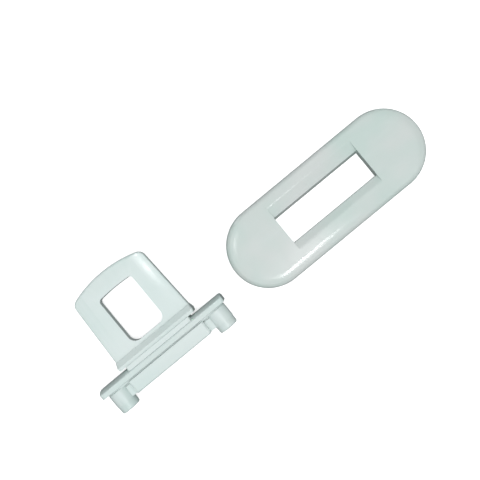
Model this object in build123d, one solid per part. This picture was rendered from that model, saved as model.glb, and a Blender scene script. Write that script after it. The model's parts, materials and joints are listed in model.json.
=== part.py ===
from build123d import *
from math import asin, atan, cos, degrees, sin, sqrt
import os

# Two-part stair gate latch: a slotted keeper plate and a flat windowed tongue on a pegged base.
# Both halves lie on the plane Z = 0, one beside the other along X.
# Origin: centre of the keeper's slot, on the keeper's mounting plane.
# +X runs along both halves, +Y is the way the tongue points, +Z is up and out of the keeper's face.
# All lengths are in millimetres.

# ---- keeper plate ----
KEEPER_LENGTH = 99.2
KEEPER_WIDTH = 36.0
KEEPER_THICKNESS = 4.6
KEEPER_ROLL_WIDTH = 5.0
KEEPER_ROLL_RADIUS = 20.0
KEEPER_RIM_RADIUS = 2.2
KEEPER_BACK_EDGE = 0.4
SLOT_LENGTH = 45.0
SLOT_LOW_Y = -6.0
SLOT_HIGH_Y = 7.6
SLOT_DRAFT = 1.0
LEAD_DEPTH = 1.3
LEAD_HIGH_Y = 12.5
LEAD_LOW_Y = -9.2
LEAD_EDGE_RADIUS = 2.5
POCKET_DEPTH = 2.2
POCKET_WALL = 2.2
SLOT_WALL = 2.6
BOSS_X = 35.5
BOSS_DIAMETER = 9.0
PILOT_RADIUS = 1.5
PILOT_DEPTH = 3.6
RIB_THICKNESS = 1.4

# ---- tongue half, lying on its side ----
TONGUE_X = -92.2
SEAT_Y = -5.6
MID_Z = 6.0
BASE_LENGTH = 64.0
BASE_DEPTH = 12.0
BASE_THICKNESS = 3.8
BASE_EDGE = 2.2
BASE_CORNER = 1.4
BASE_FRONT_RADIUS = 0.5
PAD_LENGTH = 61.2
PAD_DEPTH = 7.4
PAD_THICKNESS = 0.8
PEG_SPACING = 52.6
PEG_DIAMETER = 9.0
PEG_REACH = 10.0
PEG_END_DIAMETER = 8.6
PEG_END_RADIUS = 0.7
BLOCK_LENGTH = 39.4
BLOCK_DEPTH = 10.0
BLOCK_REACH = 6.8
WEB_DEPTH = 4.6
WEB_ROOT_DEPTH = 3.0
WEB_FROM = 1.7
WEB_TO = 6.5
NECK_LENGTH = 33.0
NECK_DEPTH = 10.6
NECK_HEIGHT = 0.75
COLLAR_BACK = (38.8, 8.9)
COLLAR_RIDGE = (39.7, 9.2)
COLLAR_FRONT = (39.0, 5.6)
COLLAR_CORNER = 0.9
COLLAR_RIDGE_HEIGHT = 1.5
COLLAR_HEIGHT = 3.7
BLADE_THICKNESS = 4.2
BLADE_ROOT_WIDTH = 39.0
BLADE_TIP_WIDTH = 36.4
BLADE_SHOULDER = 38.2
BLADE_REACH = 41.5
BLADE_CORNER = 3.4
BLADE_ROLL_WIDTH = 5.5
BLADE_ROLL_RADIUS = 60.0
BLADE_EDGE = 1.1
WINDOW_WIDTH = 17.2
WINDOW_LOW = 9.85
WINDOW_HIGH = 32.75
WINDOW_ARCH = 0.45
WINDOW_LOW_RADIUS = 3.6
WINDOW_HIGH_RADIUS = 1.6


def bar(low, high):
    """Box between two opposite corners."""
    size = [b - a for a, b in zip(low, high)]
    return Pos(*low) * Box(*size, align=(Align.MIN, Align.MIN, Align.MIN))


def prism_along_x(points, length):
    """Prism with a Y-Z outline, centred on X = 0."""
    outline = Plane.YZ * Polygon(*points, align=None)
    return extrude(outline, amount=length / 2, both=True)


def facing_out(reach):
    """Sketch plane across the tongue half, reach millimetres out from its seat."""
    return Plane(origin=(TONGUE_X, SEAT_Y + reach, MID_Z), x_dir=(1, 0, 0), z_dir=(0, 1, 0))


def cross_section(reach, length, depth, corner, height):
    """Rounded oblong block that starts at reach and rises by height along +Y."""
    return extrude(facing_out(reach) * RectangleRounded(length, depth, corner), amount=height)


# ---- keeper half ----

def keeper_section():
    """Half of the keeper's outline across its width, as (out from the middle, up): a flat top that
    rolls over gently, then tightly, to an upright edge."""
    half = KEEPER_WIDTH / 2
    flat = half - KEEPER_ROLL_WIDTH
    slope = asin((KEEPER_ROLL_WIDTH - KEEPER_RIM_RADIUS) / (KEEPER_ROLL_RADIUS - KEEPER_RIM_RADIUS))
    turn = (flat + KEEPER_ROLL_RADIUS * sin(slope), KEEPER_THICKNESS - KEEPER_ROLL_RADIUS * (1 - cos(slope)))
    foot = turn[1] - KEEPER_RIM_RADIUS * cos(slope)
    top = TangentArc((flat, KEEPER_THICKNESS), turn, tangent=(1, 0))
    rim = TangentArc(turn, (half, foot), tangent=(cos(slope), -sin(slope)))
    edge = Polyline((half, foot), (half, KEEPER_BACK_EDGE), (half - KEEPER_BACK_EDGE, 0), (0, 0),
                    (0, KEEPER_THICKNESS), (flat, KEEPER_THICKNESS))
    return make_face(top + rim + edge)


def keeper_blank():
    """Solid keeper: one straight length between two turned ends."""
    section = keeper_section()
    straight = KEEPER_LENGTH - KEEPER_WIDTH
    side = extrude(Plane.YZ * section, amount=straight / 2, both=True)
    blank = side + side.mirror(Plane.XZ)
    turned = revolve(Plane.XZ * section, Axis.Z)
    for end in (-1, 1):
        blank += Pos(end * straight / 2, 0, 0) * turned
    return blank


def keeper_plate():
    step = KEEPER_THICKNESS - LEAD_DEPTH
    above = KEEPER_THICKNESS + 1
    # a ramp leads in to each long side of the slot
    slot = prism_along_x([
        (SLOT_LOW_Y, -1),
        (SLOT_HIGH_Y - SLOT_DRAFT, -1),
        (SLOT_HIGH_Y - SLOT_DRAFT, 0),
        (SLOT_HIGH_Y, step),
        (LEAD_HIGH_Y, KEEPER_THICKNESS),
        (LEAD_HIGH_Y, above),
        (LEAD_LOW_Y, above),
        (LEAD_LOW_Y, KEEPER_THICKNESS),
        (SLOT_LOW_Y, step),
    ], SLOT_LENGTH)
    plate = keeper_blank() - slot
    ramp_tops = plate.edges().filter_by(Axis.X).filter_by(
        lambda e: abs(e.center().Z - KEEPER_THICKNESS) < 0.01
        and (abs(e.center().Y - LEAD_HIGH_Y) < 0.01 or abs(e.center().Y - LEAD_LOW_Y) < 0.01)
    )
    plate = fillet(ramp_tops, LEAD_EDGE_RADIUS)
    # the back is cored out either side of the slot to leave an even wall
    core = extrude(
        SlotOverall(KEEPER_LENGTH - 2 * POCKET_WALL, KEEPER_WIDTH - 2 * POCKET_WALL),
        amount=POCKET_DEPTH,
    )
    middle = Box(SLOT_LENGTH + 2 * SLOT_WALL, KEEPER_WIDTH, 20)
    plate -= core - middle
    for side in (-1, 1):
        plate -= Pos(side * BOSS_X, 0, 0) * Cylinder(PILOT_RADIUS, 2 * PILOT_DEPTH)
    return plate


def keeper_boss(side):
    """Screw boss with its cross of ribs, standing in one of the keeper's back pockets."""
    low = (Align.CENTER, Align.CENTER, Align.MIN)
    inner = SLOT_LENGTH / 2 + SLOT_WALL
    outer = KEEPER_LENGTH / 2 - POCKET_WALL
    along = bar((inner, -RIB_THICKNESS / 2, 0), (outer, RIB_THICKNESS / 2, POCKET_DEPTH))
    across = Pos(BOSS_X, 0, 0) * Box(RIB_THICKNESS, KEEPER_WIDTH, POCKET_DEPTH, align=low)
    boss = Pos(BOSS_X, 0, 0) * Cylinder(BOSS_DIAMETER / 2, POCKET_DEPTH, align=low)
    pocket = extrude(
        SlotOverall(KEEPER_LENGTH - 2 * POCKET_WALL, KEEPER_WIDTH - 2 * POCKET_WALL),
        amount=POCKET_DEPTH,
    )
    body = (boss + along + across) & pocket
    body -= Pos(BOSS_X, 0, 0) * Cylinder(PILOT_RADIUS, 20)
    if side < 0:
        body = body.mirror(Plane.YZ)
    return body


# ---- tongue half ----

def base_plate():
    """Oblong plate with a flat back and a front that crowns across its depth."""
    plate = cross_section(0, BASE_LENGTH, BASE_DEPTH, BASE_CORNER, BASE_THICKNESS)
    low = SEAT_Y + BASE_EDGE
    top = SEAT_Y + BASE_THICKNESS
    crown = ThreePointArc((low, MID_Z - BASE_DEPTH / 2), (top, MID_Z), (low, MID_Z + BASE_DEPTH / 2))
    back = Polyline(
        (low, MID_Z + BASE_DEPTH / 2),
        (SEAT_Y, MID_Z + BASE_DEPTH / 2),
        (SEAT_Y, MID_Z - BASE_DEPTH / 2),
        (low, MID_Z - BASE_DEPTH / 2),
    )
    plate &= Pos(TONGUE_X, 0, 0) * extrude(Plane.YZ * make_face(crown + back), amount=BASE_LENGTH, both=True)
    front = plate.faces().filter_by(lambda f: f.normal_at().Y > 0.9).sort_by(Axis.Y)[-1]
    plate = fillet(front.edges(), BASE_FRONT_RADIUS)
    return fillet(plate.faces().sort_by(Axis.Y)[0].edges(), 0.3)


def seat_pad():
    return cross_section(-PAD_THICKNESS, PAD_LENGTH, PAD_DEPTH, PAD_DEPTH / 2 - 0.1, PAD_THICKNESS)


def root_block():
    height = BLOCK_REACH - PAD_THICKNESS
    block = cross_section(-BLOCK_REACH, BLOCK_LENGTH, BLOCK_DEPTH, 1.2, height)
    return chamfer(block.faces().sort_by(Axis.Y)[0].edges(), 0.5)


def peg(side):
    """Round peg whose free end, past the block, is a shade slimmer than its root."""
    here = TONGUE_X + side * PEG_SPACING / 2
    out = Plane(origin=(here, SEAT_Y - PAD_THICKNESS, MID_Z), x_dir=(1, 0, 0), z_dir=(0, -1, 0))
    shaft = extrude(out * Circle(PEG_END_DIAMETER / 2), amount=PEG_REACH - PAD_THICKNESS)
    shaft = fillet(shaft.faces().sort_by(Axis.Y)[0].edges(), PEG_END_RADIUS)
    return shaft + extrude(out * Circle(PEG_DIAMETER / 2), amount=BLOCK_REACH - PAD_THICKNESS)


def web(side):
    """Rib that ties the block's end to its peg, thinner where it meets the seat pad."""
    inner = BLOCK_LENGTH / 2
    outer = PEG_SPACING / 2
    low_x = TONGUE_X + min(side * inner, side * outer)
    high_x = TONGUE_X + max(side * inner, side * outer)
    rib = bar(
        (low_x, SEAT_Y - WEB_TO, MID_Z - WEB_DEPTH / 2),
        (high_x, SEAT_Y - WEB_FROM, MID_Z + WEB_DEPTH / 2),
    )
    rib += bar(
        (low_x, SEAT_Y - WEB_TO, MID_Z - WEB_ROOT_DEPTH / 2),
        (high_x, SEAT_Y - PAD_THICKNESS, MID_Z + WEB_ROOT_DEPTH / 2),
    )
    return rib - peg(side)


def neck():
    """Short stem whose foot follows the base's crowned front."""
    height = BASE_THICKNESS + NECK_HEIGHT - BASE_EDGE
    return cross_section(BASE_EDGE, NECK_LENGTH, NECK_DEPTH, 0.8, height) - base_plate()


def collar():
    """Stop ring with a low ridge round it and a front that falls away to the blade on every side."""
    start = BASE_THICKNESS + NECK_HEIGHT
    ridge = start + COLLAR_RIDGE_HEIGHT
    back_face = facing_out(start) * RectangleRounded(*COLLAR_BACK, COLLAR_CORNER)
    ridge_face = facing_out(ridge) * RectangleRounded(*COLLAR_RIDGE, COLLAR_CORNER)
    front_face = facing_out(start + COLLAR_HEIGHT) * RectangleRounded(*COLLAR_FRONT, COLLAR_CORNER)
    return loft([back_face, ridge_face], ruled=True) + loft([ridge_face, front_face], ruled=True)


def blade_outline():
    root = BASE_THICKNESS + NECK_HEIGHT + COLLAR_HEIGHT
    half_root = BLADE_ROOT_WIDTH / 2
    half_tip = BLADE_TIP_WIDTH / 2
    edges = Polyline((-half_tip, BLADE_SHOULDER), (-half_root, root), (half_root, root),
                     (half_tip, BLADE_SHOULDER))
    edges += ThreePointArc((half_tip, BLADE_SHOULDER), (0, BLADE_REACH), (-half_tip, BLADE_SHOULDER))
    outline = make_face(edges)
    return fillet(outline.vertices().group_by(Axis.Y)[-1], BLADE_CORNER)


def window_outline():
    half = WINDOW_WIDTH / 2
    edges = Polyline((-half, WINDOW_HIGH), (-half, WINDOW_LOW), (half, WINDOW_LOW), (half, WINDOW_HIGH))
    edges += ThreePointArc((half, WINDOW_HIGH), (0, WINDOW_HIGH + WINDOW_ARCH), (-half, WINDOW_HIGH))
    outline = make_face(edges)
    outline = fillet(outline.vertices().group_by(Axis.Y)[0], WINDOW_LOW_RADIUS)
    return fillet(outline.vertices().group_by(Axis.Y)[-1], WINDOW_HIGH_RADIUS)


def blade_roll(side, face):
    """Cutter that rolls one face of the blade gently down to one of its long sides."""
    top = BLADE_THICKNESS / 2

    def drop(run):
        return BLADE_ROLL_RADIUS - sqrt(BLADE_ROLL_RADIUS**2 - run**2)

    def at(run, height):
        return (side * (run - BLADE_ROLL_WIDTH), face * height)

    reach = BLADE_ROLL_WIDTH + 1
    arc = ThreePointArc(at(0, top), at(reach / 2, top - drop(reach / 2)), at(reach, top - drop(reach)))
    rest = Polyline(at(reach, top - drop(reach)), at(reach, top + 1), at(0, top + 1), at(0, top))
    wedge = extrude(Plane.XZ * make_face(arc + rest), amount=2 * BLADE_REACH, both=True)
    root = BASE_THICKNESS + NECK_HEIGHT + COLLAR_HEIGHT
    lean = degrees(atan((BLADE_ROOT_WIDTH - BLADE_TIP_WIDTH) / 2 / (BLADE_SHOULDER - root)))
    return Pos(side * BLADE_ROOT_WIDTH / 2, root, 0) * Rot(Z=side * lean) * wedge


def tongue_blade():
    blade = extrude(blade_outline(), amount=BLADE_THICKNESS / 2, both=True)
    root = BASE_THICKNESS + NECK_HEIGHT + COLLAR_HEIGHT
    for end in (-1, 0):
        face = blade.faces().sort_by(Axis.Z)[end]
        rim = face.edges().filter_by(lambda e: e.center().Y > root + 0.1)
        blade = fillet(rim, BLADE_EDGE)
    for side in (-1, 1):
        for face in (-1, 1):
            blade -= blade_roll(side, face)
    blade -= extrude(window_outline(), amount=BLADE_THICKNESS, both=True)
    return Pos(TONGUE_X, SEAT_Y, MID_Z) * blade


nodes = {
    "keeper_plate": keeper_plate(),
    "keeper_left_boss": keeper_boss(-1),
    "keeper_right_boss": keeper_boss(1),
    "base_plate": base_plate(),
    "seat_pad": seat_pad(),
    "root_block": root_block(),
    "left_peg": peg(-1),
    "right_peg": peg(1),
    "left_web": web(-1),
    "right_web": web(1),
    "neck": neck(),
    "collar": collar(),
    "tongue_blade": tongue_blade(),
}

os.makedirs("parts", exist_ok=True)
for name, shape in nodes.items():
    export_step(shape, f"parts/{name}.step")
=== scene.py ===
import json
import math

import bpy
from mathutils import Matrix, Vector


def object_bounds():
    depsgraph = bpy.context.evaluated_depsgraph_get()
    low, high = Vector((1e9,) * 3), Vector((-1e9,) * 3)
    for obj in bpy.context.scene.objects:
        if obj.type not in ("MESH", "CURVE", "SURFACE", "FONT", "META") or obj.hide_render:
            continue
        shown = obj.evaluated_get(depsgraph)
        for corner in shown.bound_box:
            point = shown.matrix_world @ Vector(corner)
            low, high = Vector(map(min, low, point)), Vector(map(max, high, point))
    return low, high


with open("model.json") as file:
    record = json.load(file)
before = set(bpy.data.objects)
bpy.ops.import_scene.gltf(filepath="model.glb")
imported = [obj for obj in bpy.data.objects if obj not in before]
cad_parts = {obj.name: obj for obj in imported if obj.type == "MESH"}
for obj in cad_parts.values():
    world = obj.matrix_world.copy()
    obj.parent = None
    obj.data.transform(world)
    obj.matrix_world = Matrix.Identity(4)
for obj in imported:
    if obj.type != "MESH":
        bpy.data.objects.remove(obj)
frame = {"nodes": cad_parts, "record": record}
cad_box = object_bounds()

MM = 0.001

# camera over the model, in millimetres and degrees: it looks straight down, turned about the vertical
CAMERA_X = -39.4
CAMERA_Y = 9.55
CAMERA_HEIGHT = 241.9
CAMERA_ROLL = -39.5
CAMERA_LENS = 42.375
CAMERA_SENSOR = 36.0
CAMERA_NEAR = 5.0
CAMERA_FAR = 20000.0

# softboxes: name, direction from the model, distance, width and depth in metres, power in watts
SOFTBOXES = (
    ("overhead", (0.0, -0.06, 1.0), 1.0, 1.1, 1.1, 4.15),
    ("key", (0.075, -0.206, 1.0), 0.9, 0.16, 0.06, 0.72),
    ("glint", (-0.115, 0.097, 1.0), 0.8, 0.04, 0.03, 0.14),
)
AIM_HEIGHT = 4.0

# sky: brightness over and under the model, and how gradually one turns into the other
SKY_ABOVE = 0.60
SKY_BELOW = 0.10
SKY_BLEND = 0.15
SKY_TINT = (0.96, 0.985, 1.0)

# plastic: cool and warm tints of each half, and the tints laid over them
KEEPER_COOL = (0.535, 0.640, 0.600)
KEEPER_WARM = (0.610, 0.650, 0.630)
TONGUE_COOL = (0.600, 0.715, 0.685)
TONGUE_WARM = (0.645, 0.730, 0.705)
STREAK_TINT = (0.82, 0.86, 0.86)
SPECK_TINT = (0.42, 0.45, 0.44)
# painted shade: dark tint laid into corners and seams
CREVICE_SHADE_TINT = (0.11, 0.13, 0.13)
EDGE_TINT = (0.80, 0.86, 0.85)

# plastic: how much of each tint shows
STREAK_AMOUNT = 0.10
SPECK_AMOUNT = 0.16
# strength of the painted shade in corners and seams
CREVICE_SHADE_AMOUNT = 0.6
EDGE_AMOUNT = 0.35

# plastic: noise scales, in features per metre
DRIFT_SCALE = 38
STREAK_SCALE = 90
RIPPLE_SCALE = 160
GLOSS_SCALE = 260
SPECK_SCALE = 1500
GRAIN_SCALE = 5200

# plastic: gloss, and the relief of the surface in millimetres
SMOOTHEST = 0.13
ROUGHEST = 0.19
# reach of the painted shade out from corners and seams, in millimetres
CREVICE_SHADE_REACH = 1.2
RIPPLE_HEIGHT = 0.15
GRAIN_HEIGHT = 0.02
RELIEF_STRENGTH = 0.10
GLOW_DEPTH = 0.8

# studio, in metres
FLOOR_HALF = 3.0
WALL_RADIUS = 2.9
WALL_FOOT = -0.1
WALL_TOP = 3.0
WALL_SIDES = 96

# colour sockets of Blender's mix node
MIX_FACTOR = 0
MIX_A = 6
MIX_B = 7
MIX_RESULT = 2


# ---- materials ----

class Nodes:
    """Short hand for building one material's node tree."""

    def __init__(self, name):
        self.material = bpy.data.materials.new(name)
        self.material.use_nodes = True
        self.tree = self.material.node_tree
        self.tree.nodes.clear()

    def add(self, kind, **settings):
        node = self.tree.nodes.new(kind)
        for key, value in settings.items():
            setattr(node, key, value)
        return node

    def link(self, out, into):
        self.tree.links.new(out, into)

    def noise(self, coords, scale, detail, roughness, stretch=(1, 1, 1), shift=(0, 0, 0)):
        mapping = self.add("ShaderNodeMapping")
        mapping.inputs["Scale"].default_value = stretch
        mapping.inputs["Location"].default_value = shift
        self.link(coords, mapping.inputs["Vector"])
        noise = self.add("ShaderNodeTexNoise")
        noise.inputs["Scale"].default_value = scale
        noise.inputs["Detail"].default_value = detail
        noise.inputs["Roughness"].default_value = roughness
        self.link(mapping.outputs["Vector"], noise.inputs["Vector"])
        return noise.outputs["Fac"]

    def spread(self, value, low, high, to_low=0.0, to_high=1.0):
        node = self.add("ShaderNodeMapRange")
        node.inputs["From Min"].default_value = low
        node.inputs["From Max"].default_value = high
        node.inputs["To Min"].default_value = to_low
        node.inputs["To Max"].default_value = to_high
        self.link(value, node.inputs["Value"])
        return node.outputs["Result"]

    def mix(self, factor, a, b):
        node = self.add("ShaderNodeMix", data_type="RGBA", blend_type="MIX")
        self.link(factor, node.inputs[MIX_FACTOR])
        for value, socket in ((a, node.inputs[MIX_A]), (b, node.inputs[MIX_B])):
            if isinstance(value, tuple):
                socket.default_value = (*value, 1)
            else:
                self.link(value, socket)
        return node.outputs[MIX_RESULT]

    def bump(self, height, distance, normal=None):
        node = self.add("ShaderNodeBump")
        node.inputs["Strength"].default_value = RELIEF_STRENGTH
        node.inputs["Distance"].default_value = distance
        self.link(height, node.inputs["Height"])
        if normal is not None:
            self.link(normal, node.inputs["Normal"])
        return node.outputs["Normal"]

    def surface(self, out):
        output = self.add("ShaderNodeOutputMaterial")
        self.link(out, output.inputs["Surface"])
        return self.material


def moulded_plastic(name, cool, warm, seed):
    """Pale semi-gloss moulding: drifting tint, flow streaks, specks, fine grain, painted shade in
    corners.
    """
    n = Nodes(name)
    coords = n.add("ShaderNodeTexCoord").outputs["Object"]

    drift = n.noise(coords, DRIFT_SCALE, 2, 0.5, shift=(seed, 0, 0))
    colour = n.mix(n.spread(drift, 0.38, 0.62), cool, warm)

    streaks = n.noise(coords, STREAK_SCALE, 4, 0.6, stretch=(0.25, 1, 1), shift=(0, seed, 0))
    colour = n.mix(n.spread(streaks, 0.45, 0.75, 0, STREAK_AMOUNT), colour, STREAK_TINT)

    specks = n.noise(coords, SPECK_SCALE, 2, 0.5, shift=(0, 0, seed))
    colour = n.mix(n.spread(specks, 0.71, 0.80, 0, SPECK_AMOUNT), colour, SPECK_TINT)

    # painted shade: corners and seams are darkened wherever ambient occlusion finds them
    hollow = n.add("ShaderNodeAmbientOcclusion", samples=8, only_local=False)
    hollow.inputs["Distance"].default_value = CREVICE_SHADE_REACH * MM
    crevice_shade = n.spread(hollow.outputs["AO"], 0.05, 0.36, CREVICE_SHADE_AMOUNT, 0.0)
    colour = n.mix(crevice_shade, colour, CREVICE_SHADE_TINT)

    # handled edges are a touch paler
    edge = n.add("ShaderNodeNewGeometry").outputs["Pointiness"]
    colour = n.mix(n.spread(edge, 0.52, 0.60, 0, EDGE_AMOUNT), colour, EDGE_TINT)

    shader = n.add("ShaderNodeBsdfPrincipled")
    n.link(colour, shader.inputs["Base Color"])
    gloss = n.noise(coords, GLOSS_SCALE, 3, 0.6, shift=(seed, seed, 0))
    n.link(n.spread(gloss, 0.3, 0.7, SMOOTHEST, ROUGHEST), shader.inputs["Roughness"])
    shader.inputs["IOR"].default_value = 1.5
    shader.inputs["Specular IOR Level"].default_value = 0.5
    shader.inputs["Subsurface Weight"].default_value = 0.08
    shader.inputs["Subsurface Radius"].default_value = (1.0, 1.0, 0.9)
    shader.inputs["Subsurface Scale"].default_value = GLOW_DEPTH * MM

    grain = n.noise(coords, GRAIN_SCALE, 2, 0.5)
    ripple = n.noise(coords, RIPPLE_SCALE, 2, 0.5, shift=(0, seed, seed))
    normal = n.bump(ripple, RIPPLE_HEIGHT * MM)
    normal = n.bump(grain, GRAIN_HEIGHT * MM, normal)
    n.link(normal, shader.inputs["Normal"])
    return n.surface(shader.outputs["BSDF"])


keeper_plastic = moulded_plastic("keeper_plastic", KEEPER_COOL, KEEPER_WARM, 3.0)
tongue_plastic = moulded_plastic("tongue_plastic", TONGUE_COOL, TONGUE_WARM, 8.0)

for body, material in (("keeper", keeper_plastic), ("tongue", tongue_plastic)):
    for node in frame["record"]["behaviour"]["bodies"][body]:
        piece = frame["nodes"][node]
        if not piece.material_slots:
            piece.data.materials.append(material)
        for slot in piece.material_slots:
            slot.material = material


# ---- floor and backdrop ----

def studio_object(name, points, faces, material):
    """Studio surface that throws no light back up the model's sides."""
    mesh = bpy.data.meshes.new(name)
    mesh.from_pydata(points, [], faces)
    mesh.materials.append(material)
    surface = bpy.data.objects.new(name, mesh)
    bpy.context.collection.objects.link(surface)
    surface.visible_diffuse = False
    surface.visible_glossy = False
    return surface


def make_floor():
    """Flat white paper that glows slightly, just under the model."""
    n = Nodes("paper_floor")
    coords = n.add("ShaderNodeTexCoord").outputs["Object"]
    tone = n.spread(n.noise(coords, 12, 3, 0.5), 0.3, 0.7)
    shader = n.add("ShaderNodeBsdfPrincipled")
    n.link(n.mix(tone, (0.93, 0.93, 0.93), (0.96, 0.96, 0.96)), shader.inputs["Base Color"])
    shader.inputs["Roughness"].default_value = 0.9
    shader.inputs["Specular IOR Level"].default_value = 0.1
    shader.inputs["Emission Color"].default_value = (1, 1, 1, 1)
    shader.inputs["Emission Strength"].default_value = 0.6
    material = n.surface(shader.outputs["BSDF"])
    half = FLOOR_HALF
    corners = [(-half, -half, 0), (half, -half, 0), (half, half, 0), (-half, half, 0)]
    floor = studio_object("floor", corners, [(0, 1, 2, 3)], material)
    floor.location.z = cad_box[0][2] - 0.02 * MM
    return floor


def make_backdrop():
    """White paper wall all round the floor: it closes the view, and doesn't shade the model."""
    n = Nodes("paper_wall")
    coords = n.add("ShaderNodeTexCoord").outputs["Object"]
    tone = n.spread(n.noise(coords, 6, 2, 0.5), 0.3, 0.7)
    glow = n.add("ShaderNodeEmission")
    n.link(n.mix(tone, (0.98, 0.98, 0.98), (1.0, 1.0, 1.0)), glow.inputs["Color"])
    glow.inputs["Strength"].default_value = 1.1
    material = n.surface(glow.outputs["Emission"])
    turns = [2 * math.pi * i / WALL_SIDES for i in range(WALL_SIDES)]
    ring = [(WALL_RADIUS * math.cos(turn), WALL_RADIUS * math.sin(turn)) for turn in turns]
    points = [(x, y, WALL_FOOT) for x, y in ring] + [(x, y, WALL_TOP) for x, y in ring]
    faces = []
    for i in range(WALL_SIDES):
        after = (i + 1) % WALL_SIDES
        faces.append((i, after, WALL_SIDES + after, WALL_SIDES + i))
    wall = studio_object("backdrop", points, faces, material)
    wall.visible_shadow = False
    return wall


make_floor()
make_backdrop()


# ---- light and camera ----

def softbox(name, direction, distance, width, depth, power):
    """Rectangular light that faces the model from a direction."""
    data = bpy.data.lights.new(name, "AREA")
    data.shape = "RECTANGLE"
    data.size = width
    data.size_y = depth
    data.energy = power
    light = bpy.data.objects.new(name, data)
    bpy.context.collection.objects.link(light)
    aim = Vector((CAMERA_X * MM, CAMERA_Y * MM, AIM_HEIGHT * MM))
    away = Vector(direction).normalized()
    light.location = aim + away * distance
    light.rotation_euler = away.to_track_quat("Z", "Y").to_euler()


for settings in SOFTBOXES:
    softbox(*settings)


def make_sky():
    """Even white tent above the model, and a dim one below it."""
    world = bpy.data.worlds.new("studio")
    world.use_nodes = True
    tree = world.node_tree
    coords = tree.nodes.new("ShaderNodeTexCoord").outputs["Generated"]
    split = tree.nodes.new("ShaderNodeSeparateXYZ")
    tree.links.new(coords, split.inputs[0])
    fade = tree.nodes.new("ShaderNodeMapRange")
    fade.inputs["From Min"].default_value = -SKY_BLEND
    fade.inputs["From Max"].default_value = SKY_BLEND
    fade.inputs["To Min"].default_value = SKY_BELOW
    fade.inputs["To Max"].default_value = SKY_ABOVE
    tree.links.new(split.outputs["Z"], fade.inputs["Value"])
    background = tree.nodes["Background"]
    background.inputs["Color"].default_value = (*SKY_TINT, 1)
    tree.links.new(fade.outputs["Result"], background.inputs["Strength"])
    return world


bpy.context.scene.world = make_sky()
bpy.context.scene.view_settings.view_transform = "Standard"

lens = bpy.data.cameras.new("camera")
lens.lens = CAMERA_LENS
lens.sensor_width = CAMERA_SENSOR
lens.clip_start = CAMERA_NEAR * MM
lens.clip_end = CAMERA_FAR * MM
camera = bpy.data.objects.new("camera", lens)
camera.location = (CAMERA_X * MM, CAMERA_Y * MM, CAMERA_HEIGHT * MM)
camera.rotation_euler = (0, 0, math.radians(CAMERA_ROLL))
bpy.context.collection.objects.link(camera)
bpy.context.scene.camera = camera
